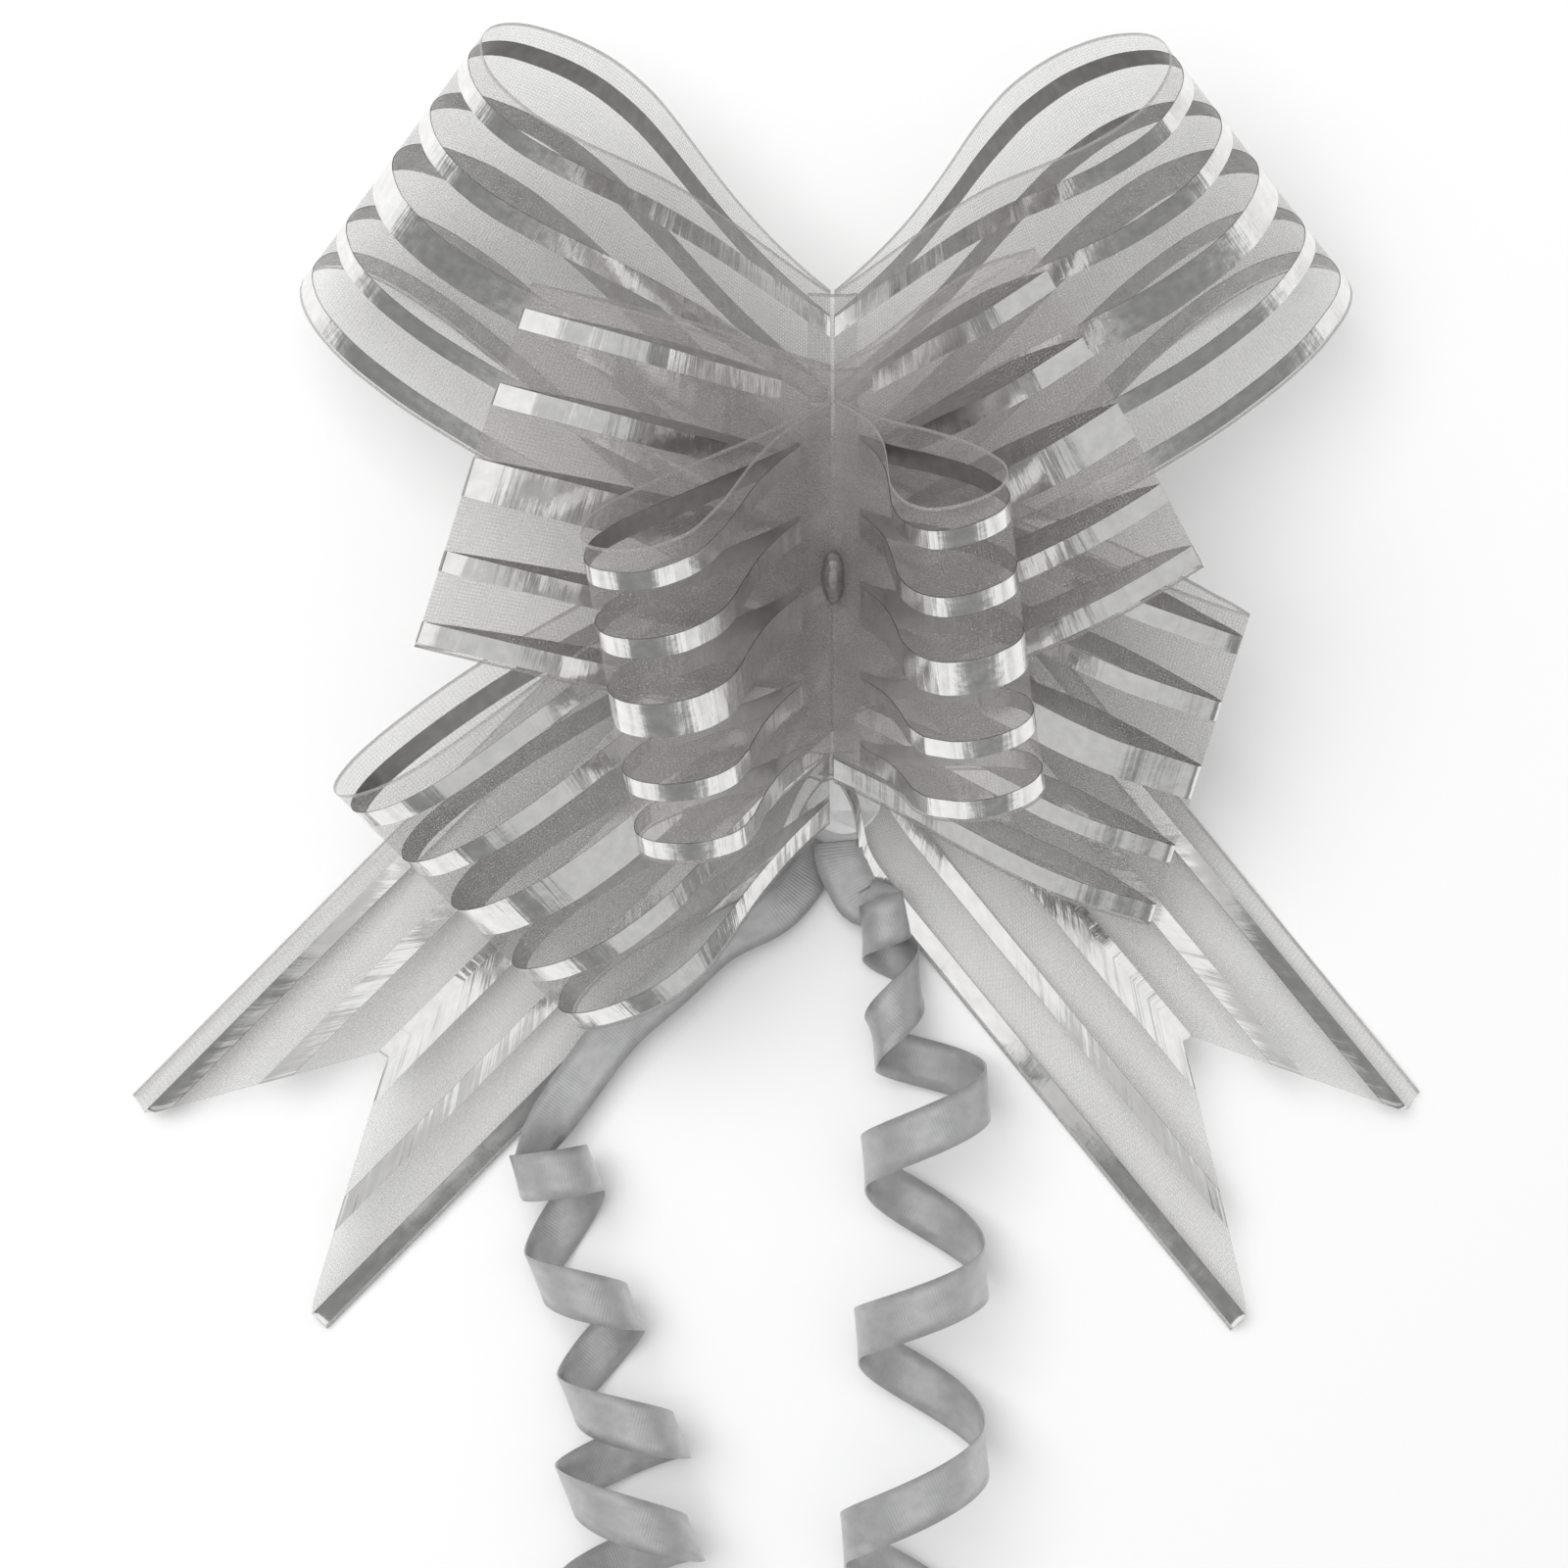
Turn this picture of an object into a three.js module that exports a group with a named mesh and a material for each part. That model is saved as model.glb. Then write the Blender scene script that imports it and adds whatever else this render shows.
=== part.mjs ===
// Butterfly pull bow: one wide striped organza ribbon drawn up on a narrow pull ribbon.
// It lies on its back: +X to the right, +Y to the top of the bow, +Z up towards whoever looks at it.
// Eight loops and two cut tails fan out from the gather, a sloping line called the spine.
// Millimetres. The origin is the middle of the footprint, on the surface the bow lies on.
import * as THREE from "three";

// --- Driving dimensions -------------------------------------------------------------------------
const RIBBON_WIDTH = 50;
const RIBBON_THICK = 0.4;
const PULL_WIDTH = 7;
const PULL_THICK = 0.8;
const GAP = 0.3;

const SPREAD = 1; // share of the full fan: how far the loops are fluffed out from the gather
const CORE_HALF = 1.6; // half width of the pressed pleats between left and right loops
const SPINE_TILT = 15; // degrees: the top of the gather stands higher than its foot
const SPINE_ROOM = 14.5; // room under the middle of the stack of pleats, besides its own depth
const LAYER_STEP = 1.8; // between the two layers of one loop, at the gather
const PLEAT_STEP = 4.2; // between one pair of loops and the next, at the gather
const SLOT_ROOM = 0.4; // room round the pull ribbon where it is threaded through a pleat

const TAIL_ROOM = 2.2; // more room between the tails and the top loops than between two pleats
const TAIL_RISE = 8; // rise of a tail's middle over its edges
const TAIL_CHORD = 0.88; // width of a risen tail from edge to edge, as a share of the ribbon's
const NOTCH_DEPTH = 34;
const NOTCH_BLUNT = 4;

const CURL_WALL = 0.6; // room between the pull ribbon's curls and the solid round them
const LEAD_WIDTH = PULL_WIDTH - 1;
const BACK_STRIP_LENGTH = 24; // from the back knot down to the free leads
const KNOT_LENGTH = 7.6;
const KNOT_HEIGHT = 3;
const TAB_LENGTH = 16;
const TAB_WIDTH = 11;
const TAB_THICK = 1;
const TAB_MIDDLE = [2, -30];

// A loop: where its fold's upper and lower corners lie, and for its back and its front layer how
// far it opens (belly) and how slim it is near the gather (slim). crease is 0.5 for a round fold
// and 1 for a pressed one. pleat is its place in the stack, from the back, and root is how far up
// the gather the middle of its width is held.
const LOOPS = [
  { name: "loop_top_left", side: -1, pleat: 0, root: 12,
    upper: [-47.1, 70.8, 42.5], lower: [-74.6, 40.8, 14.3], belly: [15, 10.5], slim: [1.25, 1.7], crease: 0.5 },
  { name: "loop_top_right", side: 1, pleat: 0, root: 12,
    upper: [44.6, 69, 44], lower: [72.8, 40.8, 14.3], belly: [15, 12], slim: [1.25, 1.5], crease: 0.5 },
  { name: "loop_lower_left", side: -1, pleat: 1, root: -7,
    upper: [-67.5, -32.5, 35], lower: [-36.8, -64, 15.8], belly: [8, 8.5], slim: [1.5, 1.7], crease: 0.5 },
  { name: "loop_lower_right", side: 1, pleat: 1, root: -7,
    upper: [56.8, -8, 36], lower: [45.2, -50.3, 14], belly: [4, 4], slim: [1.5, 1.5], crease: 1 },
  { name: "loop_middle_left", side: -1, pleat: 2, root: 3,
    upper: [-39.8, 33.8, 64], lower: [-55, -12, 60], belly: [4.5, 5], slim: [1.6, 1.6], crease: 1 },
  { name: "loop_middle_right", side: 1, pleat: 2, root: 3,
    upper: [26, 37.6, 68], lower: [48.7, -1, 51], belly: [4.5, 5], slim: [1.6, 1.6], crease: 1 },
  { name: "loop_front_left", side: -1, pleat: 3, root: -1,
    upper: [-30.5, -1, 83], lower: [-24, -40.9, 54], belly: [6.5, 8], slim: [1.8, 1.6], crease: 0.5 },
  { name: "loop_front_right", side: 1, pleat: 3, root: -1,
    upper: [19, 4.6, 82], lower: [25, -33, 54], belly: [7, 8], slim: [1.6, 1.6], crease: 0.5 },
];

// A tail: the middle of its far end, and which way its width runs there.
const TAILS = [
  { name: "tail_left", side: -1, root: -9, end: [-86.8, -92.6], across: [-0.64, 0.77] },
  { name: "tail_right", side: 1, root: -9, end: [72.5, -91.5], across: [0.66, 0.75] },
];

// The free ends of the pull ribbon: flat leads from the foot of the gather, then runs of curls,
// each a list of points of the curls' axis, seen from above, and how far the run lies off the
// surface there, on a tail, with the radius of its turns. They are drawn for a ribbon 50 wide, and
// move down with the lower edges of a wider one.
const LEADS = [
  { name: "pull_ribbon_lead_left",
    route: [[-1.4, -39, 0.9], [-3.2, -43, 1.5], [-8, -49, 3.8], [-16, -53, 3.8], [-23, -59.5, 4],
      [-30.5, -66, 4.4], [-37, -74.5, 4.2]] },
  { name: "pull_ribbon_lead_right",
    route: [[1, -39, 3.2], [1.4, -42, 3.6], [2.8, -45, 3.6], [4.6, -48.4, 3.2]] },
];
const CURLS = [
  { name: "pull_ribbon_curl_left", radius: 6.5,
    axis: [[-40.2, -81, 1.8], [-36.5, -95, 0.3], [-30, -118, 0.1]] },
  { name: "pull_ribbon_curl_left_end", radius: 9,
    axis: [[-29.5, -119.5, 0.1], [-28.5, -131.5, 0.1], [-27, -156, 0.1]] },
  { name: "pull_ribbon_curl_right_start", radius: 3.6, axis: [[5.8, -50.2, 1.2], [8, -57.2, 1]] },
  { name: "pull_ribbon_curl_right", radius: 10,
    axis: [[11, -58.5, 1.2], [14, -76, 0.4], [14, -98, 0.1], [12, -122, 0.1], [11, -158, 0.1]] },
];

const STEPS_ROUND = 28;
const STEPS_ALONG = 14;
const STEPS_ACROSS = 10;

// --- Materials ----------------------------------------------------------------------------------
const organza = new THREE.MeshStandardMaterial({ color: 0xb9b7b5, roughness: 0.45, metalness: 0.3 });
const satin = new THREE.MeshStandardMaterial({ color: 0xa9a9ab, roughness: 0.35, metalness: 0.2 });
const film = new THREE.MeshStandardMaterial({ color: 0xd8dcda, roughness: 0.2, metalness: 0 });

const bow = new THREE.Group();
const assembly = new THREE.Group();
bow.add(assembly);

function addPiece(name, geometry, material) {
  const piece = new THREE.Mesh(geometry, material);
  piece.name = name;
  assembly.add(piece);
  return piece;
}

// 0 at and below 0, 1 at and above 1, with a smooth start and end.
const eased = (x) => {
  const t = Math.min(1, Math.max(0, x));
  return t * t * (3 - 2 * t);
};

// --- A sheet of ribbon as a closed solid --------------------------------------------------------
// rows[i][j] are points of the middle surface. The sheet gets half its thickness on each side.
function sheetSolid(rows, thickness) {
  const last = rows.length - 1;
  const edge = rows[0].length - 1;
  const normalAt = (i, j) => {
    const along = rows[Math.min(i + 1, last)][j].clone().sub(rows[Math.max(i - 1, 0)][j]);
    const over = rows[i][Math.min(j + 1, edge)].clone().sub(rows[i][Math.max(j - 1, 0)]);
    return along.cross(over).normalize();
  };
  const skins = [1, -1].map((sign) =>
    rows.map((row, i) =>
      row.map((point, j) => point.clone().addScaledVector(normalAt(i, j), (sign * thickness) / 2))));
  const [front, back] = skins;
  const triangles = [];
  const quad = (a, b, c, d) => triangles.push(a, b, c, a, c, d);
  for (let i = 0; i < last; i++) {
    for (let j = 0; j < edge; j++) {
      quad(front[i][j], front[i + 1][j], front[i + 1][j + 1], front[i][j + 1]);
      quad(back[i][j], back[i][j + 1], back[i + 1][j + 1], back[i + 1][j]);
    }
    quad(front[i][0], back[i][0], back[i + 1][0], front[i + 1][0]);
    quad(front[i][edge], front[i + 1][edge], back[i + 1][edge], back[i][edge]);
  }
  for (let j = 0; j < edge; j++) {
    quad(front[0][j], front[0][j + 1], back[0][j + 1], back[0][j]);
    quad(front[last][j], back[last][j], back[last][j + 1], front[last][j + 1]);
  }
  const geometry = new THREE.BufferGeometry();
  const flat = triangles.flatMap((point) => [point.x, point.y, point.z]);
  geometry.setAttribute("position", new THREE.Float32BufferAttribute(flat, 3));
  geometry.computeVertexNormals();
  return geometry;
}

// --- The spine ----------------------------------------------------------------------------------
const tilt = THREE.MathUtils.degToRad(SPINE_TILT);
const spineHeight = SPINE_ROOM + 2.5 * PLEAT_STEP;
const spineUp = new THREE.Vector3(0, Math.cos(tilt), Math.sin(tilt));
const spineOut = new THREE.Vector3(0, -Math.sin(tilt), Math.cos(tilt));

// A point of the gather: x across it, y along it, out through the stack of pleats.
function spinePoint(x, y, out) {
  return new THREE.Vector3(x, 0, spineHeight).addScaledVector(spineUp, y).addScaledVector(spineOut, out);
}

// Stands a piece made along Z on the spine, with its own z as the height in the stack.
function onSpine(piece) {
  piece.rotation.x = tilt;
  piece.position.z = spineHeight;
}

// Height in the stack of one pleat's middle.
const pleatHeight = (pleat) => (pleat - 1.5) * PLEAT_STEP;

// --- Loops --------------------------------------------------------------------------------------
function loopRows(loop) {
  const upper = new THREE.Vector3(...loop.upper);
  const lower = new THREE.Vector3(...loop.lower);
  const rootMiddle = spinePoint(0, loop.root, pleatHeight(loop.pleat));
  const rootSide = spinePoint(loop.side * (CORE_HALF + GAP), loop.root, pleatHeight(loop.pleat));
  const reach = upper.clone().add(lower).multiplyScalar(0.5).sub(rootMiddle).multiplyScalar(SPREAD);
  const foldMiddle = rootMiddle.clone().add(reach);
  const foldAcross = upper.clone().sub(lower).normalize();
  const foldOut = reach.clone().cross(foldAcross).multiplyScalar(loop.side).normalize();
  const rows = [];
  for (let i = 0; i <= STEPS_ROUND; i++) {
    const turn = (i / STEPS_ROUND) * 2 * Math.PI;
    const s = (1 - Math.cos(turn)) / 2;
    const front = i * 2 < STEPS_ROUND ? 0 : 1;
    const layer = front * 2 - 1;
    const slim = loop.slim[front];
    const peakAt = slim / (slim + loop.crease);
    const peak = peakAt ** slim * (1 - peakAt) ** loop.crease;
    const opened = (loop.belly[front] * s ** slim * (1 - s) ** loop.crease) / peak;
    const across = spineUp.clone().lerp(foldAcross, eased(s)).normalize();
    const out = spineOut.clone().lerp(foldOut, eased(s)).normalize();
    const middle = rootSide.clone().lerp(foldMiddle, s)
      .addScaledVector(spineOut, (layer * LAYER_STEP * (1 - s)) / 2)
      .addScaledVector(out, layer * opened);
    rows.push([0.5, -0.5].map((share) => middle.clone().addScaledVector(across, share * RIBBON_WIDTH)));
  }
  return loop.side < 0 ? rows : rows.reverse();
}

for (const loop of LOOPS) addPiece(loop.name, sheetSolid(loopRows(loop), RIBBON_THICK), organza);

// --- Tails --------------------------------------------------------------------------------------
// Ribbon ends that run out under the lower loops and lie down on the surface, cut to a swallowtail.
const TAIL_OUT = pleatHeight(0) - PLEAT_STEP - TAIL_ROOM;
const LIES_DOWN = 0.32; // share of a tail's length over which it comes down to the surface
const EDGE_LEAD = 0.45; // its upper edge gets there this much sooner, and its lower edge later

function tailRows(tail) {
  const root = spinePoint(tail.side * (CORE_HALF + GAP), tail.root, TAIL_OUT);
  const far = new THREE.Vector3(tail.end[0], tail.end[1], RIBBON_THICK);
  const farAcross = new THREE.Vector3(tail.across[0], tail.across[1], 0).normalize();
  const full = far.distanceTo(root);
  const half = RIBBON_WIDTH / 2;
  const rows = [];
  for (let j = 0; j <= STEPS_ACROSS; j++) {
    const v = 1 - (2 * j) / STEPS_ACROSS;
    const cut = NOTCH_DEPTH * (1 - Math.min(1, (Math.abs(v) * half) / (half - NOTCH_BLUNT)));
    const row = [];
    for (let i = 0; i <= STEPS_ALONG; i++) {
      const u = (i / STEPS_ALONG) * (1 - cut / full);
      const across = spineUp.clone().lerp(farAcross, eased(u / LIES_DOWN)).normalize();
      const point = root.clone().lerp(far, u);
      point.addScaledVector(across, v * half * (1 - (1 - TAIL_CHORD) * eased(u / LIES_DOWN)));
      const down = eased(u / (LIES_DOWN * (1 - EDGE_LEAD * v)));
      const rootEdge = root.z + spineUp.z * v * half;
      point.z = rootEdge * (1 - down) + far.z * down + TAIL_RISE * (1 - v * v) * eased((u - 0.4) / 0.4);
      row.push(point);
    }
    rows.push(row);
  }
  return tail.side < 0 ? rows.reverse() : rows;
}

for (const tail of TAILS) addPiece(tail.name, sheetSolid(tailRows(tail), RIBBON_THICK), organza);

// --- Pressed pleats -----------------------------------------------------------------------------
// Where each layer of ribbon crosses from left to right it is pressed flat and slotted on its middle.
const slotWidth = PULL_WIDTH + 2 * SLOT_ROOM;
const slotThick = PULL_THICK + 2 * SLOT_ROOM;

function box(x0, x1, y0, y1) {
  return [new THREE.Vector2(x0, y0), new THREE.Vector2(x1, y0), new THREE.Vector2(x1, y1),
    new THREE.Vector2(x0, y1)];
}

function addPleat(name, middle, out, thick) {
  const outline = new THREE.Shape(box(-CORE_HALF, CORE_HALF, middle - RIBBON_WIDTH / 2,
    middle + RIBBON_WIDTH / 2));
  outline.holes.push(new THREE.Path(box(-slotThick / 2, slotThick / 2, -slotWidth / 2, slotWidth / 2)));
  const geometry = new THREE.ExtrudeGeometry(outline, { depth: thick, bevelEnabled: false });
  geometry.translate(0, 0, out - thick / 2);
  onSpine(addPiece(name, geometry, organza));
}

const loopPleatThick = LAYER_STEP + RIBBON_THICK;
const pleatNames = ["pleat_top", "pleat_lower", "pleat_middle", "pleat_front"];
pleatNames.forEach((name, pleat) => {
  const root = LOOPS.find((loop) => loop.pleat === pleat).root;
  addPleat(name, root, pleatHeight(pleat), loopPleatThick);
});
addPleat("pleat_tail", TAILS[0].root, TAIL_OUT, loopPleatThick);

// --- Pull ribbon --------------------------------------------------------------------------------
// A narrow satin ribbon threaded through all the slots. A pressed knot at each end of the stack
// keeps the loops drawn up, and its two free ends run down the back to the foot of the spine.
const stackFront = pleatHeight(pleatNames.length - 1) + loopPleatThick / 2;
const stackBack = TAIL_OUT - loopPleatThick / 2;

const threadLength = stackFront - stackBack;
const thread = new THREE.BoxGeometry(PULL_THICK, PULL_WIDTH, threadLength);
thread.translate(0, 0, (stackFront + stackBack) / 2);
onSpine(addPiece("pull_ribbon_thread", thread, satin));

function addKnot(name, from, to) {
  const middle = (from + to) / 2;
  const knot = new THREE.SphereGeometry(0.5, 12, 8);
  knot.rotateX(Math.PI / 2);
  knot.scale(2 * CORE_HALF, KNOT_LENGTH, to - from);
  knot.translate(0, 0, middle);
  onSpine(addPiece(name, knot, satin));
}
addKnot("front_knot", stackFront + GAP, stackFront + GAP + KNOT_HEIGHT);
addKnot("back_knot", stackBack - GAP - KNOT_HEIGHT, stackBack - GAP);

const backStrip = new THREE.BoxGeometry(LEAD_WIDTH, BACK_STRIP_LENGTH, PULL_THICK);
backStrip.translate(0, -KNOT_LENGTH / 2 - GAP - BACK_STRIP_LENGTH / 2, stackBack - GAP - KNOT_HEIGHT / 2);
onSpine(addPiece("pull_ribbon_back", backStrip, satin));

const cordDrop = (RIBBON_WIDTH - 50) * 0.6;

function leadRows(route) {
  const points = route.map(([x, y, z]) => new THREE.Vector3(x, y - cordDrop, z));
  const curve = new THREE.CatmullRomCurve3(points);
  const steps = route.length * 3;
  const rows = [];
  for (let i = 0; i <= steps; i++) {
    const middle = curve.getPoint(i / steps);
    const ahead = curve.getTangent(i / steps);
    const across = new THREE.Vector3(-ahead.y, ahead.x, 0).normalize();
    rows.push([0.5, -0.5].map((share) => middle.clone().addScaledVector(across, share * LEAD_WIDTH)));
  }
  return rows.reverse();
}

const cordPieces = [];
for (const lead of LEADS) {
  cordPieces.push(addPiece(lead.name, sheetSolid(leadRows(lead.route), PULL_THICK), satin));
}

for (const curl of CURLS) {
  const outer = curl.radius + CURL_WALL;
  const points = curl.axis.map(([x, y, rise]) => new THREE.Vector3(x, y - cordDrop, outer + rise));
  const section = new THREE.Shape();
  section.absarc(0, 0, outer, 0, Math.PI * 2);
  const geometry = new THREE.ExtrudeGeometry(section, {
    steps: curl.axis.length * 3, curveSegments: 6, bevelEnabled: false,
    extrudePath: new THREE.CatmullRomCurve3(points),
  });
  cordPieces.push(addPiece(curl.name, geometry, satin));
}

// --- Retaining tab ------------------------------------------------------------------------------
// A clear film tab welded to the foot of the spine. Its flat underside is what rests on a parcel.
const tabHalf = TAB_WIDTH / 2;
const tabOutline = new THREE.Shape();
tabOutline.moveTo(-tabHalf, -TAB_LENGTH / 2);
tabOutline.lineTo(tabHalf, -TAB_LENGTH / 2);
tabOutline.lineTo(tabHalf, TAB_LENGTH / 2 - tabHalf);
tabOutline.absarc(0, TAB_LENGTH / 2 - tabHalf, tabHalf, 0, Math.PI);
const tab = addPiece("retaining_tab",
  new THREE.ExtrudeGeometry(tabOutline, { depth: TAB_THICK, bevelEnabled: false, curveSegments: 8 }), film);
tab.position.set(TAB_MIDDLE[0], TAB_MIDDLE[1], 0);
tab.rotation.z = Math.PI;

// --- Origin -------------------------------------------------------------------------------------
// The middle of the footprint of the bow without its free ribbon ends, on the surface it lies on.
const footprint = new THREE.Box3();
for (const piece of assembly.children) {
  if (!cordPieces.includes(piece)) footprint.expandByObject(piece, true);
}
const centre = footprint.getCenter(new THREE.Vector3());
assembly.position.set(-centre.x, -centre.y, -footprint.min.z);

export default bow;
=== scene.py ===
import math

import bmesh
import bpy
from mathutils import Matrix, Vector, noise


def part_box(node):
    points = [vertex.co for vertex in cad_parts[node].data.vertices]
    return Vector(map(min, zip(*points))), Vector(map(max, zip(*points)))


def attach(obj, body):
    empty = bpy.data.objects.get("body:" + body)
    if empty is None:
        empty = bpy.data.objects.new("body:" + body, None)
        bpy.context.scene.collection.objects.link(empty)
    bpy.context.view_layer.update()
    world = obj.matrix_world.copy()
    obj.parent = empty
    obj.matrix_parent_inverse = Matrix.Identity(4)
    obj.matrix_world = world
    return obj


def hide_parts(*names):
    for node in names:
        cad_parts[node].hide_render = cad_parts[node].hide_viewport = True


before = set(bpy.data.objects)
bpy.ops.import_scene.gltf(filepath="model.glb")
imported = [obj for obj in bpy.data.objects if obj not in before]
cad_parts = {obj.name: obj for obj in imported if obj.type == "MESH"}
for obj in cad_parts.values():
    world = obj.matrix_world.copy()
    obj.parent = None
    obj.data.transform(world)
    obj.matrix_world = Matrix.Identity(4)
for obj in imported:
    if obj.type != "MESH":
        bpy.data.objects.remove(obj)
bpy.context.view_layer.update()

scene = bpy.context.scene

# Camera: straight above the bow, which lies on its back, far enough away that the standing loops
# look only a little nearer than the tails on the surface.
camera_data = bpy.data.cameras.new("camera")
camera_data.sensor_width = 36
camera_data.lens = 100.7
camera = bpy.data.objects.new("camera", camera_data)
camera.location = (0.0002, -0.0128, 0.635)
scene.collection.objects.link(camera)
scene.camera = camera

# The gather: a sloping line that every loop and tail leaves, with the thread through its stack of
# pleats. Its foot is at the bottom of the bow. Points on it are given as x across, y along and
# out through the stack.
mm = 0.001
SPINE_TILT = math.radians(15)
THREAD_OUT = -3.2 * mm  # middle of the thread in the stack
spine_up = Vector((0, math.cos(SPINE_TILT), math.sin(SPINE_TILT)))
spine_out = Vector((0, -math.sin(SPINE_TILT), math.cos(SPINE_TILT)))
thread_low, thread_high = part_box("pull_ribbon_thread")
gather = (Vector(thread_low) + Vector(thread_high)) / 2 - spine_out * THREAD_OUT


def spine_point(x, y, out):
    return gather + Vector((x, 0, 0)) + spine_up * y + spine_out * out


# Satin pull ribbon: a woven tape 7 mm wide with a soft lengthways sheen and fine ribs across it.
# Its two free ends leave the foot of the gather flat, and are curled by drawing them over a blade.
PULL_WIDTH = 7 * mm
PULL_THICK = 0.25 * mm
RIB_ANGLE = 95.0  # radians of rib wave in a length equal to the tape's width: about 15 ribs
SATIN_BUMP = 0.03 * mm
LEAD_STEPS = 9  # rows of points between two points of a lead's route
CURL_STEPS = 26  # rows of points in half a turn of a curl
BENDS_EASED = 6  # rounds of smoothing where a lead runs into its curls


def on_floor(x, y, z):
    """A point given from the gather in plan, and from the surface the bow lies on in height."""
    return Vector((gather.x + x, gather.y + y, z))


def principled(name, **sockets):
    """A material with one Principled shader, whose plain socket values are given by name."""
    material = bpy.data.materials.new(name)
    material.use_nodes = True
    shader = material.node_tree.nodes["Principled BSDF"]
    for socket, value in sockets.items():
        shader.inputs[socket.replace("_", " ")].default_value = value
    return material, material.node_tree, shader


def math_node(tree, operation, *values):
    """A Math node. Each value is a number or another node's output."""
    node = tree.nodes.new("ShaderNodeMath")
    node.operation = operation
    for slot, value in zip(node.inputs, values):
        if isinstance(value, (int, float)):
            slot.default_value = value
        else:
            tree.links.new(value, slot)
    return node.outputs[0]


def ribbon_coordinates(tree):
    """How far along and across the ribbon a point lies, both in ribbon widths."""
    uv = tree.nodes.new("ShaderNodeUVMap")
    uv.uv_map = "ribbon"
    split = tree.nodes.new("ShaderNodeSeparateXYZ")
    tree.links.new(uv.outputs[0], split.inputs[0])
    return uv.outputs[0], split.outputs[0], split.outputs[1]


def noise_on(tree, vector, stretch, scale, detail=3.0):
    """Noise on the ribbon's own coordinates, stretched along and across it."""
    place = tree.nodes.new("ShaderNodeMapping")
    place.inputs["Scale"].default_value = stretch
    tree.links.new(vector, place.inputs[0])
    pattern = tree.nodes.new("ShaderNodeTexNoise")
    pattern.inputs["Scale"].default_value = scale
    pattern.inputs["Detail"].default_value = detail
    tree.links.new(place.outputs[0], pattern.inputs["Vector"])
    return pattern.outputs["Fac"]


def bumped(tree, shader, height, distance):
    bump = tree.nodes.new("ShaderNodeBump")
    bump.inputs["Distance"].default_value = distance
    tree.links.new(height, bump.inputs["Height"])
    tree.links.new(bump.outputs[0], shader.inputs["Normal"])


def graded(tree, factor, *stops):
    """A colour ramp from stops of place and grey, or place and colour."""
    ramp = tree.nodes.new("ShaderNodeValToRGB")
    ramp.color_ramp.elements[0].position = stops[0][0]
    ramp.color_ramp.elements[1].position = stops[-1][0]
    for place, _ in stops[1:-1]:
        ramp.color_ramp.elements.new(place)
    for element, (_, colour) in zip(ramp.color_ramp.elements, stops):
        if isinstance(colour, (int, float)):
            colour = (colour,) * 3
        element.color = (*colour, 1)
    tree.links.new(factor, ramp.inputs[0])
    return ramp.outputs[0]


def mapped_sheet(name, along, columns, place, paint=None):
    """A sheet whose grid points are put where place(u, v) says: u runs 0 to 1 along it, v across.
    columns are the shares of the width where its lines of points run. Its UV map is in widths."""
    mesh = bpy.data.meshes.new(name)
    bm = bmesh.new()
    bmesh.ops.create_grid(bm, x_segments=along, y_segments=len(columns) - 1, size=0.5)
    uv_layer = bm.loops.layers.uv.new("ribbon")
    shares = {}
    for vert in bm.verts:
        u = vert.co.x + 0.5
        v = columns[round((vert.co.y + 0.5) * (len(columns) - 1))]
        shares[vert] = (u, v)
    for face in bm.faces:
        if paint:
            middle_u, middle_v = (sum(shares[vert][k] for vert in face.verts) / 4 for k in (0, 1))
            face.material_index = paint(middle_u, middle_v)
        face.smooth = True
    length = 0
    lines = {}
    for vert, (u, v) in shares.items():
        vert.co = place(u, v)
        lines.setdefault(round(u * along), {})[v] = vert.co.copy()
    middle = columns[len(columns) // 2]
    run = [0.0]
    for i in range(1, along + 1):
        length += (lines[i][middle] - lines[i - 1][middle]).length
        run.append(length)
    half_way = lines[along // 2]
    width = sum((half_way[b] - half_way[a]).length for a, b in zip(columns, columns[1:]))
    for face in bm.faces:
        for loop in face.loops:
            u, v = shares[loop.vert]
            loop[uv_layer].uv = (run[round(u * along)] / width, v)
    bm.to_mesh(mesh)
    bm.free()
    piece = bpy.data.objects.new(name, mesh)
    scene.collection.objects.link(piece)
    return piece, length


def thicken(piece, thickness, material_step):
    """Gives a sheet its thickness, half on each side. Its inner skin shows the materials that come
    material_step later in its list."""
    solid = piece.modifiers.new("thickness", "SOLIDIFY")
    solid.thickness = thickness
    solid.offset = 0
    solid.material_offset = material_step


satin, tree, shader = principled("pull_ribbon_satin", Metallic=0.7, Roughness=0.28)
coordinates, along, _ = ribbon_coordinates(tree)
ribs = math_node(tree, "SINE", math_node(tree, "MULTIPLY", along, RIB_ANGLE))
cloud = noise_on(tree, coordinates, (1, 1.5, 1), 3.0)
grain = noise_on(tree, coordinates, (8, 30, 1), 9.0)
mix = math_node(tree, "ADD", math_node(tree, "MULTIPLY", cloud, 0.5),
                math_node(tree, "MULTIPLY", grain, 0.5))
tree.links.new(graded(tree, mix, (0.3, (0.44, 0.44, 0.445)), (0.7, (0.62, 0.62, 0.625))),
               shader.inputs["Base Color"])
bumped(tree, shader, math_node(tree, "ADD", math_node(tree, "MULTIPLY", ribs, 0.3), grain), SATIN_BUMP)


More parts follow.
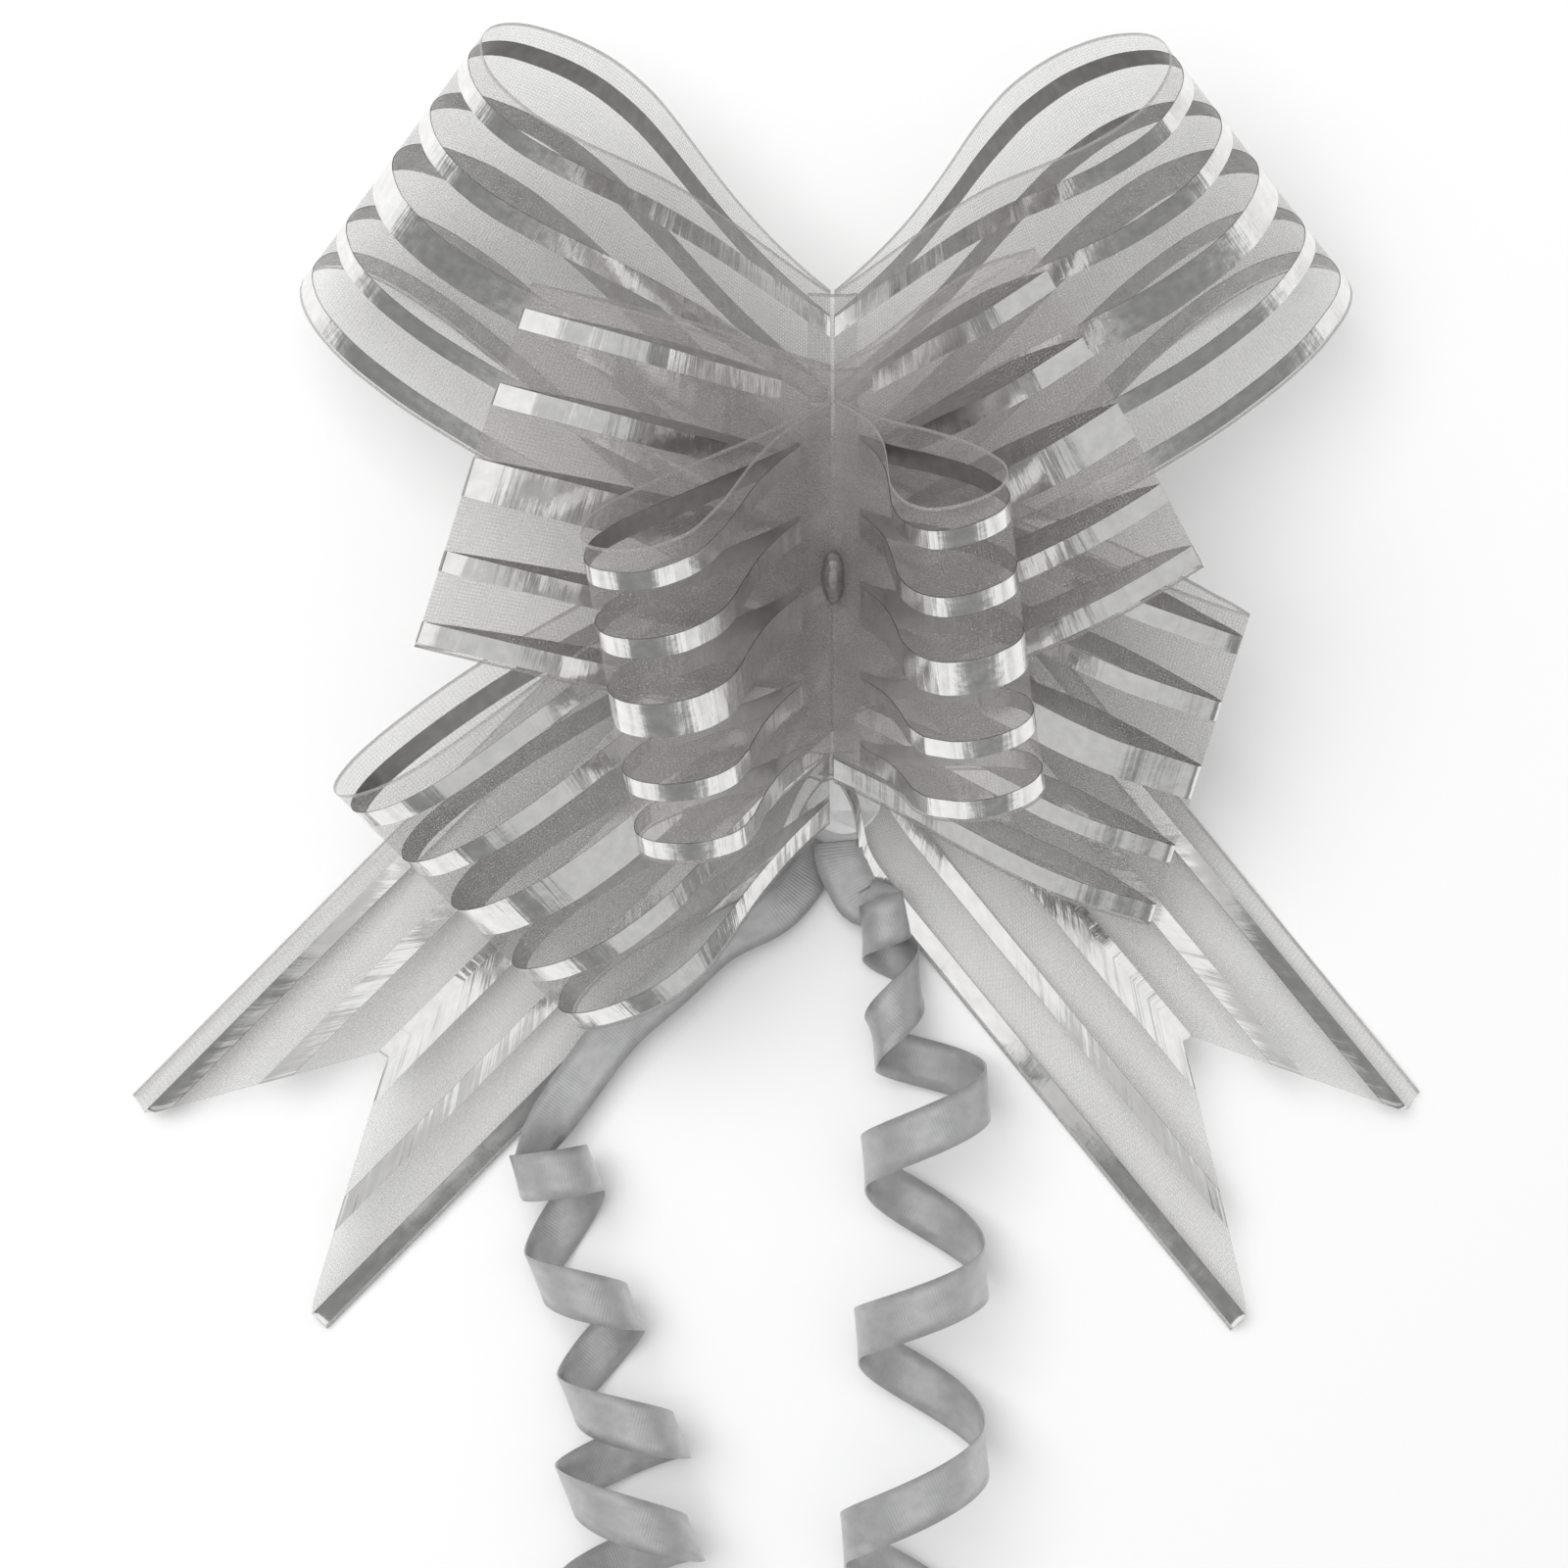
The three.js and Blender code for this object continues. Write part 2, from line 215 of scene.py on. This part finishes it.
def curled(points, sides, floor_gap, advance):
    """Points and outward directions of a ribbon curled round a line on the floor. points are where
    it turns at one side and the other, in plan, and sides says whether it crosses over or under
    to the next. advance is how evenly it goes along its line: 0 draws straight bands."""
    axis = (points[-1] - points[0]).normalized()
    sideways = Vector((-axis.y, axis.x, 0))
    radii = [abs((b - a).dot(sideways)) / 2 for a, b in zip(points, points[1:])]
    made = []
    for k, (a, b) in enumerate(zip(points, points[1:])):
        heights = [max(radii[max(0, j - 1)], radii[min(j, len(radii) - 1)]) + floor_gap for j in (k, k + 1)]
        lateral = sideways * (b - a).dot(sideways)
        forward = (b - a) - lateral
        for i in range(CURL_STEPS + (k == len(radii) - 1)):
            share = i / CURL_STEPS
            turn = share * math.pi
            swung = (1 - math.cos(turn)) / 2
            point = a + lateral * swung + forward * (swung * (1 - advance) + share * advance)
            point.z = heights[0] * (1 - share) + heights[1] * share
            point.z += sides[k] * radii[k] * math.sin(turn)
            outward = lateral.normalized() * -math.cos(turn) + Vector((0, 0, sides[k] * math.sin(turn)))
            made.append((point, outward))
    return made


def smoothed(values, rounds):
    """The list with each value between its ends drawn towards its neighbours, some times over."""
    for _ in range(rounds):
        values = [values[0]] + [
            (a + b * 2 + c) / 4 for a, b, c in zip(values, values[1:], values[2:])] + [values[-1]]
    return values


def spline(points, steps):
    """A smooth curve through the points, as a Catmull-Rom spline with some steps between two."""
    ends = [points[0] * 2 - points[1]] + points + [points[-1] * 2 - points[-2]]
    line = []
    for p0, p1, p2, p3 in zip(ends, ends[1:], ends[2:], ends[3:]):
        for i in range(steps):
            t = i / steps
            line.append(0.5 * (p1 * 2 + (p2 - p0) * t + (p0 * 2 - p1 * 5 + p2 * 4 - p3) * t * t
                               + (p1 * 3 - p0 - p2 * 3 + p3) * t ** 3))
    return line + [points[-1]]


def pull_ribbon_end(name, lead, turns, sides, floor_gap, advance, nodes):
    """A free end of the pull ribbon: a flat lead, then its curls, as one free flat cord."""
    lead_line = spline([on_floor(*stop) for stop in lead], LEAD_STEPS)
    flat = [(point, Vector((0, 0, -1))) for point in lead_line]
    rows = flat + curled([on_floor(x, y, 0) for x, y in turns], sides, floor_gap, advance)
    points = smoothed([point for point, _ in rows], BENDS_EASED)
    outwards = smoothed([outward for _, outward in rows], BENDS_EASED)
    lengths = [0.0]
    for a, b in zip(points, points[1:]):
        lengths.append(lengths[-1] + (b - a).length)
    last = len(points) - 1

    def place(u, v):
        i = round(u * last)
        ahead = (points[min(i + 1, last)] - points[max(i - 1, 0)]).normalized()
        cross = ahead.cross(outwards[i]).normalized()
        return points[i] + cross * (v - 0.5) * PULL_WIDTH

    piece, _ = mapped_sheet(name, last, [0, 0.25, 0.5, 0.75, 1], place)
    piece.data.materials.append(satin)
    thicken(piece, PULL_THICK, 0)
    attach(piece, "gather")
    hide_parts(*nodes)
    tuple(points[0])


OVER = 1
UNDER = -1
CURL_GAP = 0.8 * mm  # between a curl's turns and the surface
pull_ribbon_end(
    "pull_ribbon_left",
    [(-0.0014, -0.0390, 0.0009), (-0.0032, -0.0430, 0.0015), (-0.0080, -0.0490, 0.0038),
     (-0.0160, -0.0530, 0.0038), (-0.0230, -0.0595, 0.0040), (-0.0305, -0.0660, 0.0044),
     (-0.0370, -0.0745, 0.0042)],
    [(-0.0457, -0.0870), (-0.0336, -0.0855), (-0.0425, -0.1011), (-0.0278, -0.1056), (-0.0379, -0.1185),
     (-0.0211, -0.1236), (-0.0382, -0.1309), (-0.0191, -0.1382), (-0.0372, -0.1460), (-0.0190, -0.1520)],
    [OVER, UNDER] * 4 + [OVER], CURL_GAP, 0.25,
    ["pull_ribbon_lead_left", "pull_ribbon_curl_left", "pull_ribbon_curl_left_end"])
pull_ribbon_end(
    "pull_ribbon_right",
    [(0.0010, -0.0390, 0.0032), (0.0014, -0.0420, 0.0036), (0.0028, -0.0450, 0.0036),
     (0.0046, -0.0484, 0.0032)],
    [(0.0112, -0.0490), (0.0045, -0.0520), (0.0127, -0.0580), (0.0060, -0.0680), (0.0225, -0.0745),
     (0.0045, -0.0845), (0.0222, -0.1000), (0.0035, -0.1090), (0.0222, -0.1250), (0.0015, -0.1380),
     (0.0205, -0.1540)],
    [OVER, UNDER] * 5, CURL_GAP, 0.8,
    ["pull_ribbon_lead_right", "pull_ribbon_curl_right_start", "pull_ribbon_curl_right"])

# Wide ribbon: sheer organza, 50 mm across, with five stripes of metal foil laid on one face. A
# selvedge runs down both edges. The stripes are given as shares of the width from the edge that
# is uppermost in the bow.
RIBBON_WIDTH = 50 * mm
RIBBON_THICK = 0.12 * mm
STRIPES = [(0.070, 0.125), (0.275, 0.335), (0.480, 0.585), (0.735, 0.790), (0.930, 0.987)]
bounds = [0, 0.01] + [edge for stripe in STRIPES for edge in stripe] + [1]
CELL_SHARE = 0.03
COLUMNS = []
for start, end in zip(bounds, bounds[1:]):
    cells = max(1, round((end - start) / CELL_SHARE))
    COLUMNS += [start + (end - start) * i / cells for i in range(cells)]
COLUMNS.append(1)
WEAVE, FOIL = 0, 1
INNER_STEP = 2  # from a material of the outer face to that of the inner one
CRUSHED = 0.13  # share of a loop's length at each end that lies crushed in the gather
THREADS_PER_WIDTH = 105


def stripe_paint(u, v):
    return FOIL if any(start < v < end for start, end in STRIPES) else WEAVE


def crumpled_paint(u, v):
    """Stripes, but none where the ribbon is crushed into the gather, near both ends of a loop."""
    return stripe_paint(u, v) if CRUSHED < u < 1 - CRUSHED else WEAVE


def organza(name, dark, light):
    """Sheer weave: see-through between its threads, closed at its selvedges, with painted glints as bright
    flecks.
    """
    material, tree, shader = principled(name, Metallic=0.25, Roughness=0.45, Sheen_Weight=0.3)
    coordinates, along, across = ribbon_coordinates(tree)
    threads = []
    for direction in (along, across):
        phase = math_node(tree, "MULTIPLY", direction, 2 * math.pi * THREADS_PER_WIDTH)
        wave = math_node(tree, "SINE", phase)
        threads.append(math_node(tree, "MULTIPLY", math_node(tree, "ADD", wave, 1.0), 0.5))
    woven = math_node(tree, "MAXIMUM", *threads)
    cloud = noise_on(tree, coordinates, (1, 1, 1), 7.0)
    grain = noise_on(tree, coordinates, (1, 1, 1), 230.0, 1.0)
    cover = math_node(tree, "MULTIPLY_ADD", woven, 0.13, 0.035)
    cover = math_node(tree, "MULTIPLY", cover, math_node(tree, "MULTIPLY_ADD", cloud, 0.6, 0.7))
    cover = math_node(tree, "ADD", cover, math_node(tree, "MULTIPLY", grain, 0.05))
    # Painted glints: where the fine grain peaks, the threads get more cover and a near-white colour for
    # sparkle.
    painted_glint = math_node(tree, "GREATER_THAN", grain, 0.66)
    cover = math_node(tree, "MULTIPLY_ADD", painted_glint, 0.16, cover)
    low_edge = math_node(tree, "LESS_THAN", across, 0.009)
    high_edge = math_node(tree, "GREATER_THAN", across, 0.993)
    selvedge = math_node(tree, "MAXIMUM", low_edge, high_edge)
    cover = math_node(tree, "MULTIPLY_ADD", selvedge, 0.35, cover)
    tree.links.new(cover, shader.inputs["Alpha"])
    # The near-white top of the ramp is the painted glint colour. Below it, the grain gives a random grey
    # tone.
    bright = math_node(tree, "MAXIMUM", math_node(tree, "MULTIPLY", painted_glint, 1.0),
                       math_node(tree, "MULTIPLY", grain, 0.5))
    tree.links.new(graded(tree, bright, (0.0, dark), (0.45, light), (1.0, (0.8, 0.79, 0.78))),
                   shader.inputs["Base Color"])
    bumped(tree, shader, woven, 0.04 * mm)
    return material


def foil(name, roughness, low, high):
    """Laminated foil: a crinkled mirror, with creases across the stripe."""
    material, tree, shader = principled(name, Metallic=1.0)
    coordinates, _, _ = ribbon_coordinates(tree)
    creases = noise_on(tree, coordinates, (14, 1.2, 1), 1.0, 4.0)
    crinkle = noise_on(tree, coordinates, (1, 1, 1), 30.0, 2.0)
    tree.links.new(graded(tree, crinkle, (0.3, low), (0.7, high)), shader.inputs["Base Color"])
    tree.links.new(math_node(tree, "MULTIPLY_ADD", crinkle, 0.12, roughness), shader.inputs["Roughness"])
    height = math_node(tree, "ADD", creases, math_node(tree, "MULTIPLY", crinkle, 0.10))
    bumped(tree, shader, height, 0.3 * mm)
    return material


organza_grey = organza("organza", (0.30, 0.29, 0.28), (0.60, 0.585, 0.57))
organza_mauve = organza("organza_mauve", (0.30, 0.275, 0.27), (0.60, 0.56, 0.55))
foil_face = foil("foil_face", 0.10, (0.80, 0.795, 0.785), (0.92, 0.915, 0.905))
foil_back = foil("foil_back", 0.34, (0.46, 0.45, 0.44), (0.58, 0.57, 0.56))


def finish_ribbon(piece, body, nodes, weave):
    """Materials, thickness and the frame calls of one stretch of the wide ribbon."""
    for material in (weave, foil_face, weave, foil_back):
        piece.data.materials.append(material)
    thicken(piece, RIBBON_THICK, INNER_STEP)
    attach(piece, body)
    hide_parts(*nodes)


# Loops: each leaves the gather, opens, turns over its fold and comes back. A loop's fold is given
# by its upper and lower corners, and each layer by how far it opens and how slim it starts.
LAYER_STEP = 1.8 * mm  # between the two layers of one loop, at the gather
PLEAT_STEP = 4.2 * mm  # between one pair of loops and the next, at the gather
LOOP_SEAM = 0.3 * mm  # the loops of a pair nearly meet at the middle of the gather
RIPPLE = 0.7 * mm
FINE_RIPPLE = 0.22 * mm
GATHER_FOLD = 0.45 * mm
LOOP_ROWS = 132


def eased(x):
    t = min(1, max(0, x))
    return t * t * (3 - 2 * t)


def pleat_height(pleat):
    return (pleat - 1.5) * PLEAT_STEP


def loop_piece(name, side, pleat, root, upper, lower, belly, slim, crease, weave, seed):
    upper_corner, lower_corner = (on_floor(x, y, z) for x, y, z in (upper, lower))
    root_middle = spine_point(0, root, pleat_height(pleat))
    root_side = spine_point(side * LOOP_SEAM, root, pleat_height(pleat))
    fold_middle = (upper_corner + lower_corner) / 2
    fold_across = (upper_corner - lower_corner).normalized()
    fold_out = ((fold_middle - root_middle).cross(fold_across) * side).normalized()
    drift = Vector((seed * 7.1, seed * 3.3, seed * 1.7))

    def place(u, v):
        turn = u * 2 * math.pi
        s = (1 - math.cos(turn)) / 2
        front = 0 if u < 0.5 else 1
        layer = front * 2 - 1
        peak_at = slim[front] / (slim[front] + crease)
        peak = peak_at ** slim[front] * (1 - peak_at) ** crease
        opened = belly[front] * s ** slim[front] * (1 - s) ** crease / peak
        ease = eased(s)
        across = spine_up.lerp(fold_across, ease).normalized()
        out = spine_out.lerp(fold_out, ease).normalized()
        point = root_side.lerp(fold_middle, s)
        point += spine_out * (layer * LAYER_STEP * (1 - s) / 2) + out * (layer * opened)
        point += across * (0.5 - v) * RIBBON_WIDTH
        free = eased(s / 0.25)
        ripple = noise.noise(Vector((u * 9, v * 1.6, 0)) + drift) * RIPPLE
        ripple += noise.noise(Vector((u * 26, v * 2.5, 4)) + drift) * FINE_RIPPLE
        gathered = GATHER_FOLD * math.sin(v * 19 + seed) * (1 - s) ** 3 * eased(s / 0.06)
        point += out * (ripple * free + gathered)
        return point

    paint = crumpled_paint if pleat > 1 else stripe_paint
    piece, length = mapped_sheet(name, LOOP_ROWS, COLUMNS, place, paint)
    if side < 0:
        piece.data.flip_normals()
    finish_ribbon(piece, name, [name], weave)


TOP_ROOT = 12 * mm
LOWER_ROOT = -7 * mm
LOWER_LEFT_ROOT = -13 * mm  # this loop leaves the gather lower than its partner
MIDDLE_ROOT = 3 * mm
FRONT_ROOT = -1 * mm
ROUND = 0.5
PRESSED = 1
TOP = dict(pleat=0, root=TOP_ROOT, belly=[15 * mm, 12 * mm], slim=[0.95, 1.3], crease=ROUND)
MIDDLE = dict(pleat=2, root=MIDDLE_ROOT, belly=[4.5 * mm, 5 * mm], slim=[1.6, 1.6], crease=PRESSED)
loop_piece("loop_top_left", -1, upper=(-0.0471, 0.0708, 0.0425), lower=(-0.0746, 0.0408, 0.014),
           weave=organza_grey, seed=1, **TOP)
loop_piece("loop_top_right", 1, upper=(0.0446, 0.0690, 0.044), lower=(0.0728, 0.0408, 0.014),
           weave=organza_grey, seed=2, **TOP)
loop_piece("loop_lower_left", -1, 1, LOWER_LEFT_ROOT, (-0.0675, -0.0325, 0.035), (-0.0368, -0.0640, 0.0158),
           belly=[10 * mm, 13 * mm], slim=[1.3, 0.9], crease=ROUND, weave=organza_grey, seed=3)
loop_piece("loop_lower_right", 1, 1, LOWER_ROOT, (0.0568, -0.0080, 0.036), (0.0452, -0.0503, 0.014),
           belly=[4 * mm, 4 * mm], slim=[1.5, 1.5], crease=PRESSED, weave=organza_grey, seed=4)
loop_piece("loop_middle_left", -1, upper=(-0.0398, 0.0338, 0.064), lower=(-0.0550, -0.0120, 0.060),
           weave=organza_mauve, seed=5, **MIDDLE)
loop_piece("loop_middle_right", 1, upper=(0.0260, 0.0376, 0.068), lower=(0.0487, -0.0010, 0.051),
           weave=organza_mauve, seed=6, **MIDDLE)
loop_piece("loop_front_left", -1, 3, FRONT_ROOT, (-0.0305, -0.0010, 0.083), (-0.0240, -0.0409, 0.054),
           belly=[6.5 * mm, 8 * mm], slim=[1.8, 1.6], crease=ROUND, weave=organza_mauve, seed=7)
loop_piece("loop_front_right", 1, 3, FRONT_ROOT, (0.0190, 0.0046, 0.082), (0.0250, -0.0330, 0.054),
           belly=[7 * mm, 8 * mm], slim=[1.6, 1.6], crease=ROUND, weave=organza_mauve, seed=8)

# Tails: the two ends of the same ribbon, which run out under the lower loops, lie down on the
# surface with a low arch across, and are cut to a swallowtail with shears.
TAIL_RISE = 8 * mm  # rise of the arch over the tail's edges
TAIL_CHORD = 0.88  # width of the arched tail from edge to edge, as a share of the ribbon's
TAIL_ROOM = 2.2 * mm  # more room between the tails and the top loops than between two pleats
TAIL_OUT = pleat_height(0) - PLEAT_STEP - TAIL_ROOM
TAIL_ROOT = -9 * mm
TAIL_ROWS = 90
LIES_DOWN = 0.32  # share of a tail's length over which it comes down to the surface
EDGE_LEAD = 0.45  # its upper edge gets there this much sooner, and its lower edge later
NOTCH_DEPTH = 34 * mm
NOTCH_BLUNT = 4 * mm  # width left at each tip
TAIL_LIFT = 0.4 * mm  # keeps the rippled tail off the surface


def tail_piece(name, side, end, far_direction, seed):
    root = spine_point(side * LOOP_SEAM, TAIL_ROOT, TAIL_OUT)
    far = on_floor(*end, TAIL_LIFT)
    far_across = Vector((*far_direction, 0)).normalized()
    full = (far - root).length
    half = RIBBON_WIDTH / 2
    drift = Vector((seed * 5.3, seed * 2.9, seed))

    def place(u, v):
        w = 1 - 2 * v
        cut = NOTCH_DEPTH * (1 - min(1, abs(w) * half / (half - NOTCH_BLUNT)))
        reach = u * (1 - cut / full)
        settled = eased(reach / LIES_DOWN)
        across = spine_up.lerp(far_across, settled).normalized()
        point = root.lerp(far, reach) + across * w * half * (1 - (1 - TAIL_CHORD) * settled)
        down = eased(reach / (LIES_DOWN * (1 - EDGE_LEAD * w)))
        rise = TAIL_RISE * (1 - w * w) * eased((reach - 0.4) / 0.4)
        point.z = (root.z + spine_up.z * w * half) * (1 - down) + far.z * down + rise
        ripple = noise.noise(Vector((reach * 5, w * 1.4, 0)) + drift) * 0.8 * mm
        ripple += noise.noise(Vector((reach * 21, w * 3, 7)) + drift) * 0.25 * mm
        point.z += (ripple + TAIL_LIFT) * settled
        return point

    piece, length = mapped_sheet(name, TAIL_ROWS, COLUMNS, place, stripe_paint)
    if side > 0:
        piece.data.flip_normals()
    finish_ribbon(piece, name, [name], organza_grey)


tail_piece("tail_left", -1, (-0.0868, -0.0926), (-0.64, 0.77), 11)
tail_piece("tail_right", 1, (0.0715, -0.0925), (0.62, 0.785), 12)

# Pleats: where the ribbon crosses from a left loop to the right one it is pressed flat, slotted
# and crumpled by the pull ribbon, so it stands in small upright folds.
PLEAT_HALF = 3.4 * mm
PLEAT_RISE = 0.9 * mm
PLEAT_CRUMPLE = 1.5 * mm
PLEAT_ROWS = 12


def pleat_piece(name, root, out, weave, seed):
    drift = Vector((seed * 3.1, seed, 0))

    def place(u, v):
        x = (u - 0.5) * 2 * PLEAT_HALF
        lift = PLEAT_RISE * math.cos((u - 0.5) * math.pi) ** 2
        crumple = noise.noise(Vector((u * 4, v * 11, 0)) + drift) * PLEAT_CRUMPLE
        return spine_point(x, root + (0.5 - v) * RIBBON_WIDTH * 0.99, out + lift + crumple)

    piece, _ = mapped_sheet(name + "_fold", PLEAT_ROWS, COLUMNS, place)
    finish_ribbon(piece, "gather", [name], weave)


pleat_piece("pleat_tail", TAIL_ROOT, TAIL_OUT, organza_grey, 21)
pleat_piece("pleat_top", TOP_ROOT, pleat_height(0), organza_grey, 22)
pleat_piece("pleat_lower", LOWER_ROOT, pleat_height(1), organza_grey, 23)
pleat_piece("pleat_middle", MIDDLE_ROOT, pleat_height(2), organza_mauve, 24)
pleat_piece("pleat_front", FRONT_ROOT, pleat_height(3), organza_mauve, 25)

# Pull ribbon in the gather: the thread through the slots, its pressed knots and the strip down
# the back are the same satin tape, coloured darker as painted shade where it lies in the pleats.
painted_shade_satin, tree, shader = principled("gather_satin_painted_shade", Metallic=0.7, Roughness=0.3)
position = tree.nodes.new("ShaderNodeTexCoord").outputs["Object"]
grain = noise_on(tree, position, (600, 2500, 600), 1.0)
# Darker greys than the free ends' satin: painted shade for the tape inside the gather.
tree.links.new(graded(tree, grain, (0.3, (0.22, 0.21, 0.205)), (0.7, (0.36, 0.35, 0.345))),
               shader.inputs["Base Color"])
bumped(tree, shader, grain, 0.05 * mm)
for node in ("pull_ribbon_thread", "pull_ribbon_back", "front_knot", "back_knot"):
    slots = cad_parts[node].data.materials
    slots.clear()
    slots.append(painted_shade_satin)

# Retaining tab: clear film, hot-pressed on the pull ribbon at the foot of the gather. Its ribs
# come from the press.
film, tree, shader = principled("clear_film", Roughness=0.12, IOR=1.5, Alpha=0.35)
position = tree.nodes.new("ShaderNodeTexCoord").outputs["Object"]
pressed = noise_on(tree, position, (900, 300, 900), 1.0)
tree.links.new(graded(tree, pressed, (0.3, (0.78, 0.80, 0.79)), (0.7, (0.90, 0.91, 0.90))),
               shader.inputs["Base Color"])
bumped(tree, shader, pressed, 0.2 * mm)
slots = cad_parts["retaining_tab"].data.materials
slots.clear()
slots.append(film)

# Floor, studio and light: a pale plain surface under a large soft light, in a room with a bright
# wall at the foot, a darker band above it and a light ceiling, for the foil to mirror.
FLOOR_HALF = 3
KEY_PLACE = Vector((-0.35, 0.3, 1.1))
mesh = bpy.data.meshes.new("floor")
bm = bmesh.new()
bmesh.ops.create_grid(bm, x_segments=1, y_segments=1, size=FLOOR_HALF)
bm.to_mesh(mesh)
bm.free()
floor = bpy.data.objects.new("floor", mesh)
scene.collection.objects.link(floor)
paper, tree, shader = principled("floor_paper", Roughness=0.9, Specular_IOR_Level=0.1)
shader.inputs["Base Color"].default_value = (0.93, 0.93, 0.93, 1)
floor.data.materials.append(paper)

world = bpy.data.worlds.new("studio")
scene.world = world
world.use_nodes = True
tree = world.node_tree
direction = tree.nodes.new("ShaderNodeTexCoord")
split = tree.nodes.new("ShaderNodeSeparateXYZ")
tree.links.new(direction.outputs["Generated"], split.inputs[0])
room = graded(tree, split.outputs[2], (0.0, 1.0), (0.14, 1.0), (0.22, 0.26), (0.48, 0.24), (0.60, 0.60),
              (0.84, 0.60), (0.90, 0.95), (1.0, 0.95))
tree.links.new(room, tree.nodes["Background"].inputs[0])
tree.nodes["Background"].inputs[1].default_value = 1.0

key_data = bpy.data.lights.new("key", "AREA")
key_data.size = 0.9
key_data.energy = 9
key = bpy.data.objects.new("key", key_data)
key.location = KEY_PLACE
key.rotation_euler = (-KEY_PLACE).to_track_quat("-Z", "Y").to_euler()
key.visible_glossy = False
scene.collection.objects.link(key)

scene.view_settings.view_transform = "Standard"
scene.cycles.transparent_max_bounces = 48
